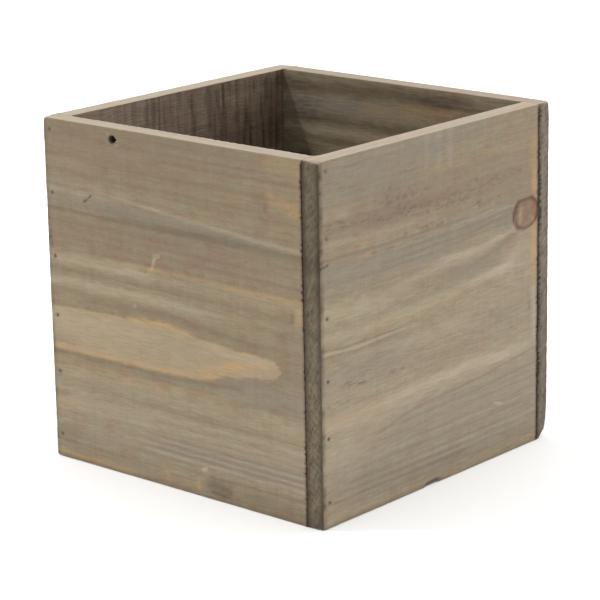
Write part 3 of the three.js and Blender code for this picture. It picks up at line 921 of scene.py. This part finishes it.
def end_grain(name, cut):
    """Pine sawn across the grain: the open ends of the fibres drink the stain and go dark, and the
    saw leaves them torn into slanting furrows."""
    material, tree = new_material(name)
    place = add(tree, "ShaderNodeAttribute", attribute_name="grain_place").outputs["Vector"]
    rings = add(tree, "ShaderNodeAttribute", attribute_name="rings").outputs["Fac"]

    # Furrows 5 mm by 1 mm at the saw's slant, open pores 0.6 mm across, and blotches 4 mm wide.
    slant = {"Vector": place, "Rotation": (np.radians(-28.0), 0.0, 0.0)}
    turned_place = add(tree, "ShaderNodeMapping", slant).outputs[0]
    patterns = {}
    for key, vector, scale, detail in (
        ("furrows", turned_place, (300, 950, 200), 4.0),
        ("pores", place, (1700, 1700, 1700), 1.0),
        ("blotches", place, (250, 250, 250), 3.0),
    ):
        way = add(tree, "ShaderNodeMapping", {"Vector": vector, "Scale": scale}).outputs[0]
        settings = {"Vector": way, "Scale": 1.0, "Detail": detail, "Roughness": 0.6}
        patterns[key] = add(tree, "ShaderNodeTexNoise", settings).outputs[0]
    year = add(tree, "ShaderNodeMath", {0: rings}, operation="FRACT").outputs[0]

    mixed = None
    for source, weight in (
        (patterns["furrows"], 0.4),
        (patterns["blotches"], 0.42),
        (patterns["pores"], 0.24),
        (year, -0.06),
    ):
        terms = {0: source, 1: weight, 2: mixed or 0.0}
        mixed = add(tree, "ShaderNodeMath", terms, operation="MULTIPLY_ADD").outputs[0]
    tones = (
        (0.36, shaded(cut.colour, 1.0 - cut.contrast)),
        (0.66, shaded(cut.colour, 1.0 + cut.contrast)),
        (0.5, cut.colour),
    )
    colour = add(tree, "ShaderNodeValToRGB", {"Fac": mixed}, tones).outputs[0]
    for tint in TINTS:
        share = add(tree, "ShaderNodeAttribute", attribute_name=tint).outputs["Fac"]
        settings = {"Factor": share, 6: colour, 7: linear(TINT_COLOURS[tint])}
        colour = add(tree, "ShaderNodeMix", settings, data_type="RGBA").outputs[2]
    settings = {"Height": mixed, "Strength": 0.8, "Distance": cut.relief}
    bump = add(tree, "ShaderNodeBump", settings).outputs[0]
    settings = {"Value": mixed, "To Min": cut.roughness - 0.06, "To Max": cut.roughness + 0.06}
    rough = add(tree, "ShaderNodeMapRange", settings).outputs[0]
    finish(tree, colour, rough, bump)
    return material


def finish(tree, colour, rough, bump):
    """Ends a wood's nodes: a matt surface with hardly any shine."""
    settings = {"Base Color": colour, "Roughness": rough, "Normal": bump}
    settings.update({"IOR": 1.5, "Specular IOR Level": 0.3})
    shader = add(tree, "ShaderNodeBsdfPrincipled", settings).outputs[0]
    add(tree, "ShaderNodeOutputMaterial", {"Surface": shader})


def browned_steel(colour):
    """Drawn steel wire, dulled and browned by damp in the wood: dark, with a weak worn shine."""
    material, tree = new_material("browned steel wire, drawn")
    place = add(tree, "ShaderNodeTexCoord").outputs["Object"]
    patches = add(tree, "ShaderNodeTexNoise", {"Vector": place, "Scale": 1500.0, "Detail": 3.0})
    tones = ((0.35, shaded(colour, 0.6)), (0.7, shaded(colour, 1.5)))
    tone = add(tree, "ShaderNodeValToRGB", {"Fac": patches.outputs[0]}, tones).outputs[0]
    settings = {"Value": patches.outputs[0], "To Min": 0.45, "To Max": 0.75}
    rough = add(tree, "ShaderNodeMapRange", settings).outputs[0]
    settings = {"Height": patches.outputs[0], "Strength": 0.4, "Distance": 0.00005}
    bump = add(tree, "ShaderNodeBump", settings).outputs[0]
    settings = {"Base Color": tone, "Metallic": 0.6, "Roughness": rough, "Normal": bump}
    shader = add(tree, "ShaderNodeBsdfPrincipled", settings).outputs[0]
    add(tree, "ShaderNodeOutputMaterial", {"Surface": shader})
    return material


def new_piece(name, points, faces, materials, slots, fields, node):
    """A mesh object from points in millimetres, with a value at each point for each field, riding
    on the frame in place of its CAD node."""
    mesh = bpy.data.meshes.new(name)
    mesh.from_pydata(points * MM, [], faces)
    for material in materials:
        mesh.materials.append(material)
    mesh.polygons.foreach_set("material_index", np.asarray(slots, dtype=np.int32))
    mesh.polygons.foreach_set("use_smooth", np.ones(len(faces), dtype=bool))
    for field, values in fields.items():
        kind, key = ("FLOAT_VECTOR", "vector") if values.ndim == 2 else ("FLOAT", "value")
        layer = mesh.attributes.new(field, kind, "POINT")
        layer.data.foreach_set(key, np.ascontiguousarray(values, dtype=np.float32).ravel())
    mesh.validate()
    mesh.set_sharp_from_angle(angle=np.radians(SHARP_FOLD))
    piece = bpy.data.objects.new(name, mesh)
    bpy.context.scene.collection.objects.link(piece)
    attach(piece, BODY)
    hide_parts(node)


def turned(points, turn):
    """Points turned about +Z by a number of quarter turns."""
    x, y, z = points.T
    for _ in range(turn % 4):
        x, y = -y, x
    return np.stack([x, y, z], axis=1)


def wall_box(node, wall):
    """A CAD node's lowest and highest corners in millimetres, in its wall's place: a quarter turn
    back for each wall since the front."""
    corners = np.array([list(corner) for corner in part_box(node)]) / MM
    corners = turned(corners, -WALLS.index(wall))
    return corners.min(axis=0), corners.max(axis=0)


# ---------------------------------------------------------------------------------------------
# Wall boards


def corner_heads(wall, low):
    """Where the heads of a wall's corner brads lie on its face, as (along, up)."""
    names = [f"{wall}_corner_brad_{i + 1}" for i in range(CORNER_BRADS)]
    middles = np.array([np.mean(wall_box(name, wall), axis=0) for name in names])
    return middles[:, [0, 2]] - low[[0, 2]]


SAW_PITCH = 3.9  # from one groove of the band saw to the next


def saw_grooves(along, up, seed):
    """Depth, from 0 to 1, of the grooves that a band saw leaves across a board: a squared sine
    whose pitch wanders, deeper in some places than in others."""
    phase = along + 1.6 * noise(along / 11.0, up / 70.0, seed)
    phase += 0.25 * noise(along / 3.0, up / 2.2, seed)
    groove = np.sin(np.pi * phase / SAW_PITCH) ** 2
    return groove * (0.55 + 0.45 * noise(along / 5.0, up / 16.0, seed + 1))


def board_relief(at, size, wall, heads, rings, marks):
    """How far each point of a board lies inside its flat faces."""
    seed = 40 + WALLS.index(wall)
    along, through, up = at.T
    outer = 1.0 - ease(through, 0.2, 1.5)
    inner = ease(through, size[1] - 1.5, size[1] - 0.2)
    end = 1.0 - ease(along, 0.0, 1.0)
    # Long waves from the plane, fibres, ripples, and the soft early wood of each ring
    depth = 0.10 + 0.10 * noise(along / 48.0, up / 55.0, seed)
    depth += np.abs(0.035 * noise(along / 14.0, up / 0.8, seed + 10))
    depth += np.abs(0.03 * noise(along / 5.0, up / 1.9, seed + 20))
    depth += 0.02 * outer * (1.0 + np.cos(2.0 * np.pi * rings))
    # Slanting furrows in the covering end
    depth += 0.14 * end * np.abs(noise((up + 1.7 * through) / 2.2, through / 3.0, seed + 40))
    if wall in ROUGH_INSIDE:
        depth += 0.2 * inner * saw_grooves(along, up, seed + 30)
        depth += 0.05 * inner * (1.0 + noise(along / 0.8, up / 9.0, seed + 32))
    for head in heads:
        far = np.hypot(along - head[0], up - head[1])
        depth += BRAD_PIT * outer * (1.0 - ease(far, 0.45, 1.05))
    for mark in marks:
        if mark.depth:
            depth += mark.depth * outer * (1.0 - ease(mark_distance(at, mark), 0.5, 1.05))
    return depth


def torn_ends(at, size, wall, torn):
    """How far along each point moves where the board meets the one that covers it, and how far out
    its own covering end's inner arris moves: both are torn into teeth by the saw."""
    along, through, up = at.T
    figure = FIGURES[wall]
    seed = 60 + WALLS.index(wall)
    rise = up / size[2]
    under_rim = ease(size[2] - up, 0.4, 2.6)
    gap = figure.shrunk * rise**2 + 1.3 * torn * ease(teeth(up, 2.3, seed), 0.3, 1.0)
    gap += 0.5 * torn * teeth(up, 1.2, seed + 1)
    gap = gap * under_rim * (1.0 - ease(through, 0.3, 1.8)) - JOINT_REACH
    short = gap * ease(along, size[0] - size[1], size[0])
    bite = 0.9 * teeth(up, 2.8, seed + 2) + 0.5 * teeth(up, 1.2, seed + 3)
    bite *= figure.end_torn * torn * under_rim
    thin = bite * ease(through, size[1] - 4.5, size[1]) * (1.0 - ease(along, 0.3, 2.4))
    return short, thin


def face_tints(at, size, wall, seed, strength):
    """The share of each tint that a wall board's own grain, streaks and marks give to its faces."""
    along, through, up = at.T
    figure = FIGURES[wall]
    outer = 1.0 - ease(through, *OUTER_SKIN)
    inner = ease(through, *INNER_SKIN)
    on_face = ease(along, 0.0, ARRIS) * ease(up, 0.0, ARRIS) * ease(size[2] - up, 0.0, ARRIS)
    own = painted(at, figure.streaks, seed, strength, figure.marks)
    # The inner face's streaks, with its painted shade and light.
    within = painted(at, figure.inner_streaks_and_shade, seed + 1)
    grown = grown_in(at, figure)
    tints = {}
    for tint in TINTS:
        tints[tint] = on_face * (outer * own[tint] + inner * within[tint])
        tints[tint] += on_face * grown[tint] * np.where(through > INNER_SKIN[0], 0.6, 1.0)
    if wall in ROUGH_INSIDE:
        grooves = saw_grooves(along, up, 70 + WALLS.index(wall))
        dashes = ease(noise(along / 1.3, up / 11.0, seed + 6), 0.15, 0.7)
        sawn = inner * on_face * (1.0 - 0.7 * ease(along, 74.0, 108.0))
        tints["umber"] += 0.9 * sawn * grooves**1.5
        tints["black"] += 0.45 * sawn * dashes
    return tints


def edge_tints_and_brad_shade(tints, at, size, wall, heads, seed):
    """Adds the dark of the joints, of the covering end and its arrises, and the painted shade in and
    round the brads' sunk pits.
    """
    along, through, up = at.T
    figure = FIGURES[wall]
    outer = 1.0 - ease(through, *OUTER_SKIN)
    covered = size[0] - along
    ragged = 0.5 * teeth(up, 1.7, seed + 3)
    under_rim = ease(size[2] - up, 0.3, 1.6)
    joint = under_rim * (1.0 - ease(through, 2.0, 5.0))
    tints["rust"] += 0.3 * joint * (1.0 - ease(covered, 0.4, 1.2 + ragged))
    tints["umber"] += 0.45 * joint * (1.0 - ease(covered, 0.1, 0.6 + ragged))
    tints["black"] += 0.2 * joint * (1.0 - ease(covered, 0.0, 0.1 + ragged))

    end = (1.0 - ease(along, 0.0, ARRIS)) * ease(size[2] - up, 0.1, 0.9)
    inner_side = near(size[1] - through, 2.2 + 0.3 * figure.end_torn + ragged)
    inner_arris = ease(through, size[1] - 0.4 * figure.end_torn - ragged, size[1])
    tints["umber"] += end * np.interp(up, *np.array(figure.end_stain).T)
    tints["umber"] += end * (0.4 * near(through, 3.2) + 0.5 * inner_side)
    tints["grey"] += end * figure.end_grey
    tints["black"] += 0.15 * figure.end_torn * under_rim * near(along, 2.0) * inner_arris

    tints["umber"] += figure.rim_stain * (1.0 - ease(size[2] - up, 0.0, ARRIS))
    worn = ease(3.0 - along + 0.5 * noise(up / 1.5, 2.0, seed + 5), 0.0, 2.4)
    worn *= outer * (1.0 - end) * (1.0 + 0.6 * noise(up / 3.0, 1.0, seed + 4))
    tints["umber"] += 0.46 * worn
    # Painted shade in and round each brad's sunk pit.
    for head in heads:
        far = np.hypot(along - head[0], up - head[1])
        tints["umber"] += 0.18 * outer * (1.0 - ease(far, 0.6, 1.5))


def arris_radius(at, size, figure):
    """How round the nearest arris is: worn at the outer corner, most of all at its top and foot,
    and sharp where two boards meet."""
    along, through, up = at.T
    radius = 0.5 + 0.15 * noise(along / 7.0 + through, up / 7.0, 3)
    radius += 0.7 * near(along, 4.0) * (1.0 - ease(through, 2.0, 5.0))
    radius += figure.worn_foot * np.exp(-((np.hypot(along, up) / 7.0) ** 2))
    radius += figure.worn_rim * np.exp(-((np.hypot(along, size[2] - up) / 5.0) ** 2))
    covering = (1.0 - ease(along, size[1] + 0.5, size[1] + 2.5)) * ease(through, 3.0, 7.0)
    covered = ease(along, size[0] - 2.5, size[0] - 0.5)
    radius *= (1.0 - 0.95 * covering) * (1.0 - 0.95 * covered)
    return np.maximum(radius, 0.03)


ANOTHER_PLANK = (0.7, 0.3, 0.9)  # metres from one board's place in the wood to the next one's


def wall_board(wall, torn, strength):
    """A wall board: its points, quads, sides, and the fields that the wood reads."""
    low, high = wall_box(f"{wall}_board", wall)
    size = high - low
    figure = FIGURES[wall]
    heads = corner_heads(wall, low)
    deep = [mark for mark in figure.marks if mark.depth]
    columns = [(0.0, 1.2, 0.25), (size[0], 3.0, 0.35), (heads[0, 0], 1.3, 0.4)]
    columns += [(mark.start[0], mark.half + 0.4, 0.45) for mark in deep]
    rows = [(0.0, 1.0, 0.25), (size[2], 1.0, 0.25)] + [(up, 1.2, 0.35) for up in heads[:, 1]]
    rows += [(mark.start[1], mark.half + 0.4, 0.4) for mark in deep]
    along = graded(size[0], 1.35, columns)
    through = graded(size[1], 0.7, [(0.0, 1.2, 0.25), (size[1], 1.2, 0.3)])
    up = graded(size[2], 0.62, rows)
    at, quads, sides = box_lattice(along, through, up)
    radius = arris_radius(at, size, figure)
    seed = 100 + 10 * WALLS.index(wall)
    rings = growth_rings(at, figure, seed)
    points, out = round_arrises(at, size, radius)
    # The relief leaves alone what lies in a joint: the covered end, and what covers the next one.
    relief = out * board_relief(at, size, wall, heads, rings, figure.marks)[:, None]
    relief[:, 0] *= 1.0 - ease(at[:, 0], size[0] - 1.5, size[0] - 0.5)
    relief[:, 1] *= 1.0 - ease(at[:, 1], 5.0, 7.0) * (1.0 - ease(at[:, 0], size[1], size[1] + 1.5))
    points -= relief
    short, thin = torn_ends(at, size, wall, torn)
    points[:, 0] -= short
    points[:, 1] -= thin
    place = np.stack([at[:, 0], at[:, 1], parted(at, figure.knots)], axis=1) * MM
    place += np.array(ANOTHER_PLANK) * (WALLS.index(wall) + 1)
    fields = {"grain_place": place, "rings": rings}
    tints = face_tints(at, size, wall, seed, strength)
    edge_tints_and_brad_shade(tints, at, size, wall, heads, seed)
    fields.update(tints)
    return turned(points + low, WALLS.index(wall)), quads, sides, fields


def floor_board():
    """The floor board, rough-sawn all over: its points, quads, and the fields of the wood."""
    low, high = (np.array(list(corner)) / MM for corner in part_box("floor_board"))
    size = high - low
    lines = [graded(side, 1.0, [(0.0, 1.0, 0.3), (side, 1.0, 0.3)]) for side in size]
    at, quads, _ = box_lattice(*lines)
    # The board lies flat: what is up on a wall runs back, and its outer face is the top one.
    flat = np.stack([at[:, 0], size[2] - at[:, 2], at[:, 1]], axis=1)
    points, out = round_arrises(at, size, 0.5 + 0.1 * noise(at[:, 0] / 6.0, at[:, 1] / 6.0, 9))
    grooves = saw_grooves(at[:, 0], at[:, 1], 77)
    relief = 0.06 + 0.16 * grooves + 0.04 * noise(at[:, 0] / 9.0, at[:, 1], 78)
    points -= out * relief[:, None]
    place = np.stack([at[:, 0], flat[:, 1], parted(flat, FLOOR.knots)], axis=1) * MM
    fields = {"grain_place": place + 5.0, "rings": growth_rings(flat, FLOOR, 7)}
    own = painted(flat, FLOOR.streaks, 80)
    grown = grown_in(flat, FLOOR)
    fields.update({tint: own[tint] + grown[tint] for tint in TINTS})
    fields["umber"] += 0.4 * grooves
    return points + low, quads, fields


class PlanterWood(bpy.types.PropertyGroup):
    """The stained pine's colours, one for each way that it was cut, and its wear."""

    face: bpy.props.FloatVectorProperty(
        name="Planed Face",
        description="Stain on the planed faces",
        subtype="COLOR",
        size=4,
        default=linear("#857863"),
    )
    inside: bpy.props.FloatVectorProperty(
        name="Rough Face",
        description="Stain on the faces left as they were sawn",
        subtype="COLOR",
        size=4,
        default=linear("#766657"),
    )
    end: bpy.props.FloatVectorProperty(
        name="End Grain",
        description="Stain on the sawn ends",
        subtype="COLOR",
        size=4,
        default=linear("#6f6653"),
    )
    edge: bpy.props.FloatVectorProperty(
        name="Edges",
        description="Stain on the rim and the foot",
        subtype="COLOR",
        size=4,
        default=linear("#9d9184"),
    )
    figure: bpy.props.FloatProperty(
        name="Figure",
        description="How strongly the streaks and marks of the grain show",
        default=0.55,
        min=0.0,
        max=1.0,
        subtype="FACTOR",
    )
    torn: bpy.props.FloatProperty(
        name="Torn Ends",
        description="How far the saw has torn the boards' ends at the joints",
        default=0.0005,
        min=0.0,
        max=0.003,
        unit="LENGTH",
    )


class PlanterBrads(bpy.types.PropertyGroup):
    """The brads that hold the boards."""

    colour: bpy.props.FloatVectorProperty(
        name="Steel",
        description="Colour of the browned steel",
        subtype="COLOR",
        size=4,
        default=linear("#62564a"),
    )


class PlanterStage(bpy.types.PropertyGroup):
    """The studio round the planter."""

    card: bpy.props.FloatVectorProperty(
        name="Card",
        description="Colour of the card that it stands on",
        subtype="COLOR",
        size=4,
        default=linear("#f4f4f4"),
    )
    sky: bpy.props.FloatProperty(
        name="Sky", description="Strength of the white surround", default=1.05, min=0.0
    )
    key: bpy.props.FloatProperty(
        name="Key", description="Power of the light overhead", default=9.8, unit="POWER", min=0.0
    )
    back: bpy.props.FloatProperty(
        name="Back", description="Power of the light behind", default=19.0, unit="POWER", min=0.0
    )


class PLANTER_OT_walls(bpy.types.Operator):
    """Builds the four wall boards"""

    bl_idname = "planter.walls"
    bl_label = "Wall Boards"

    def execute(self, context):
        wood = context.scene.planter_wood
        planed = Cut(tuple(wood.face), contrast=0.36, roughness=0.82, relief=0.00016, saw=0.3)
        rough = Cut(tuple(wood.inside), contrast=0.5, roughness=0.9, relief=0.0003, saw=0.9)
        end = Cut(tuple(wood.end), contrast=0.64, roughness=0.92, relief=0.0004, saw=0.0)
        edge = Cut(tuple(wood.edge), contrast=0.2, roughness=0.85, relief=0.0001, saw=0.2)
        materials = (
            stained_pine("stained pine, planed face", planed),
            stained_pine(ROUGH_SAWN, rough),
            end_grain("stained pine, sawn end grain", end),
            stained_pine("stained pine, planed edge", edge),
        )
        for wall in WALLS:
            points, quads, sides, fields = wall_board(wall, wood.torn / MM, wood.figure)
            inside = 1 if wall in ROUGH_INSIDE else 0
            slots = np.array([2, 2, 0, inside, 3, 3])[sides]  # ends, outer and inner, foot and rim
            board = f"{wall}_board"
            new_piece(f"{wall}_wall", points, quads, materials, slots, fields, board)
        return {"FINISHED"}


class PLANTER_OT_floor(bpy.types.Operator):
    """Builds the floor board"""

    bl_idname = "planter.floor"
    bl_label = "Floor Board"

    def execute(self, context):
        points, quads, fields = floor_board()
        rough = bpy.data.materials[ROUGH_SAWN]
        slots = np.zeros(len(quads))
        new_piece("floor", points, quads, (rough,), slots, fields, "floor_board")
        return {"FINISHED"}


class PLANTER_OT_brads(bpy.types.Operator):
    """Gives the brads their finish"""

    bl_idname = "planter.brads"
    bl_label = "Brads"

    def execute(self, context):
        steel = browned_steel(tuple(context.scene.planter_brads.colour))
        for name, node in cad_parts.items():
            if "brad" in name:
                for slot in node.material_slots:
                    slot.material = steel
        return {"FINISHED"}


# ---------------------------------------------------------------------------------------------
# Stage

CAMERA_AZIMUTH = 41.15
CAMERA_ELEVATION = 15.49
CAMERA_ROLL = -1.0
CAMERA_LENS = 149.2
CAMERA_SENSOR = 36.0
CAMERA_DISTANCE = 0.9839
CAMERA_AIM = (-0.00046, 0.0604)  # to the right of the box's axis, and above the floor
CARD_REACH = 6.0
MIDDLE = (0.0, 0.0, 0.07)  # what both lights face
KEY_PLACE, KEY_SIZE = (-0.6, -0.6, 1.35), 0.07
BACK_PLACE, BACK_SIZE = (0.5, 1.5, 0.9), 0.8


def camera_matrix():
    """The camera's axes and place, from its azimuth, elevation, roll and distance."""
    azimuth, elevation, roll = np.radians([CAMERA_AZIMUTH, CAMERA_ELEVATION, CAMERA_ROLL])
    level = np.cos(elevation)
    back = Vector((np.sin(azimuth) * level, -np.cos(azimuth) * level, np.sin(elevation)))
    right = Vector((np.cos(azimuth), np.sin(azimuth), 0.0))
    up = back.cross(right)
    place = right * CAMERA_AIM[0] + Vector((0, 0, CAMERA_AIM[1])) + back * CAMERA_DISTANCE
    right, up = right * np.cos(roll) + up * np.sin(roll), up * np.cos(roll) - right * np.sin(roll)
    matrix = Matrix((right, up, back)).transposed().to_4x4()
    matrix.translation = place
    return matrix


def area_light(name, place, size, power):
    """A square soft box that faces the planter's middle."""
    light = bpy.data.lights.new(name, "AREA")
    light.shape = "SQUARE"
    light.size = size
    light.energy = power
    lamp = bpy.data.objects.new(name, light)
    bpy.context.scene.collection.objects.link(lamp)
    lamp.location = place
    lamp.rotation_mode = "QUATERNION"
    lamp.rotation_quaternion = (Vector(MIDDLE) - Vector(place)).to_track_quat("-Z", "Y")


class PLANTER_OT_stage(bpy.types.Operator):
    """Builds the white card, the studio light and the camera"""

    bl_idname = "planter.stage"
    bl_label = "Stage"

    def execute(self, context):
        scene = context.scene
        stage = scene.planter_stage
        mesh = bpy.data.meshes.new("studio_floor")
        square = ((-1, -1), (1, -1), (1, 1), (-1, 1))
        corners = [(x * CARD_REACH, y * CARD_REACH, 0.0) for x, y in square]
        mesh.from_pydata(corners, [], [(0, 1, 2, 3)])
        material, tree = new_material("white card, matt")
        settings = {"Base Color": tuple(stage.card), "Roughness": 0.9}
        shader = add(tree, "ShaderNodeBsdfPrincipled", settings).outputs[0]
        add(tree, "ShaderNodeOutputMaterial", {"Surface": shader})
        mesh.materials.append(material)
        card = bpy.data.objects.new("studio_floor", mesh)
        scene.collection.objects.link(card)
        card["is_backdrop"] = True

        world = bpy.data.worlds.new("studio")
        world.use_nodes = True
        surround = world.node_tree.nodes["Background"]
        surround.inputs["Color"].default_value = (1, 1, 1, 1)
        surround.inputs["Strength"].default_value = stage.sky
        scene.world = world
        scene.view_settings.view_transform = "Standard"
        area_light("key", KEY_PLACE, KEY_SIZE, stage.key)
        area_light("back", BACK_PLACE, BACK_SIZE, stage.back)

        camera = bpy.data.objects.new("camera", bpy.data.cameras.new("camera"))
        camera.data.lens = CAMERA_LENS
        camera.data.sensor_width = CAMERA_SENSOR
        camera.data.clip_start = 0.01
        camera.matrix_world = camera_matrix()
        scene.collection.objects.link(camera)
        scene.camera = camera
        return {"FINISHED"}


class PLANTER_PT_pieces(bpy.types.Panel):
    """The planter's operators and settings"""

    bl_idname = "PLANTER_PT_pieces"
    bl_label = "Planter Cube"
    bl_space_type = "VIEW_3D"
    bl_region_type = "UI"
    bl_category = "Planter"

    def draw(self, context):
        scene = context.scene
        for operator in OPERATORS:
            self.layout.operator(operator.bl_idname)
        for group in (scene.planter_wood, scene.planter_brads, scene.planter_stage):
            box = self.layout.box()
            for name in group.__annotations__:
                box.prop(group, name)


OPERATORS = (PLANTER_OT_walls, PLANTER_OT_floor, PLANTER_OT_brads, PLANTER_OT_stage)
CLASSES = (PlanterWood, PlanterBrads, PlanterStage, *OPERATORS, PLANTER_PT_pieces)


def register():
    for kind in CLASSES:
        bpy.utils.register_class(kind)
    bpy.types.Scene.planter_wood = bpy.props.PointerProperty(type=PlanterWood)
    bpy.types.Scene.planter_brads = bpy.props.PointerProperty(type=PlanterBrads)
    bpy.types.Scene.planter_stage = bpy.props.PointerProperty(type=PlanterStage)


def unregister():
    del bpy.types.Scene.planter_stage
    del bpy.types.Scene.planter_brads
    del bpy.types.Scene.planter_wood
    for kind in reversed(CLASSES):
        bpy.utils.unregister_class(kind)


def main():
    """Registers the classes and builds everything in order."""
    register()
    bpy.ops.planter.walls()
    bpy.ops.planter.floor()
    bpy.ops.planter.brads()
    bpy.ops.planter.stage()
    boxes = {"cad": CAD_BOX, "visual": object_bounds()}
    {name: [list(corner) for corner in box] for name, box in boxes.items()}


if __name__ == "__main__":
    main()
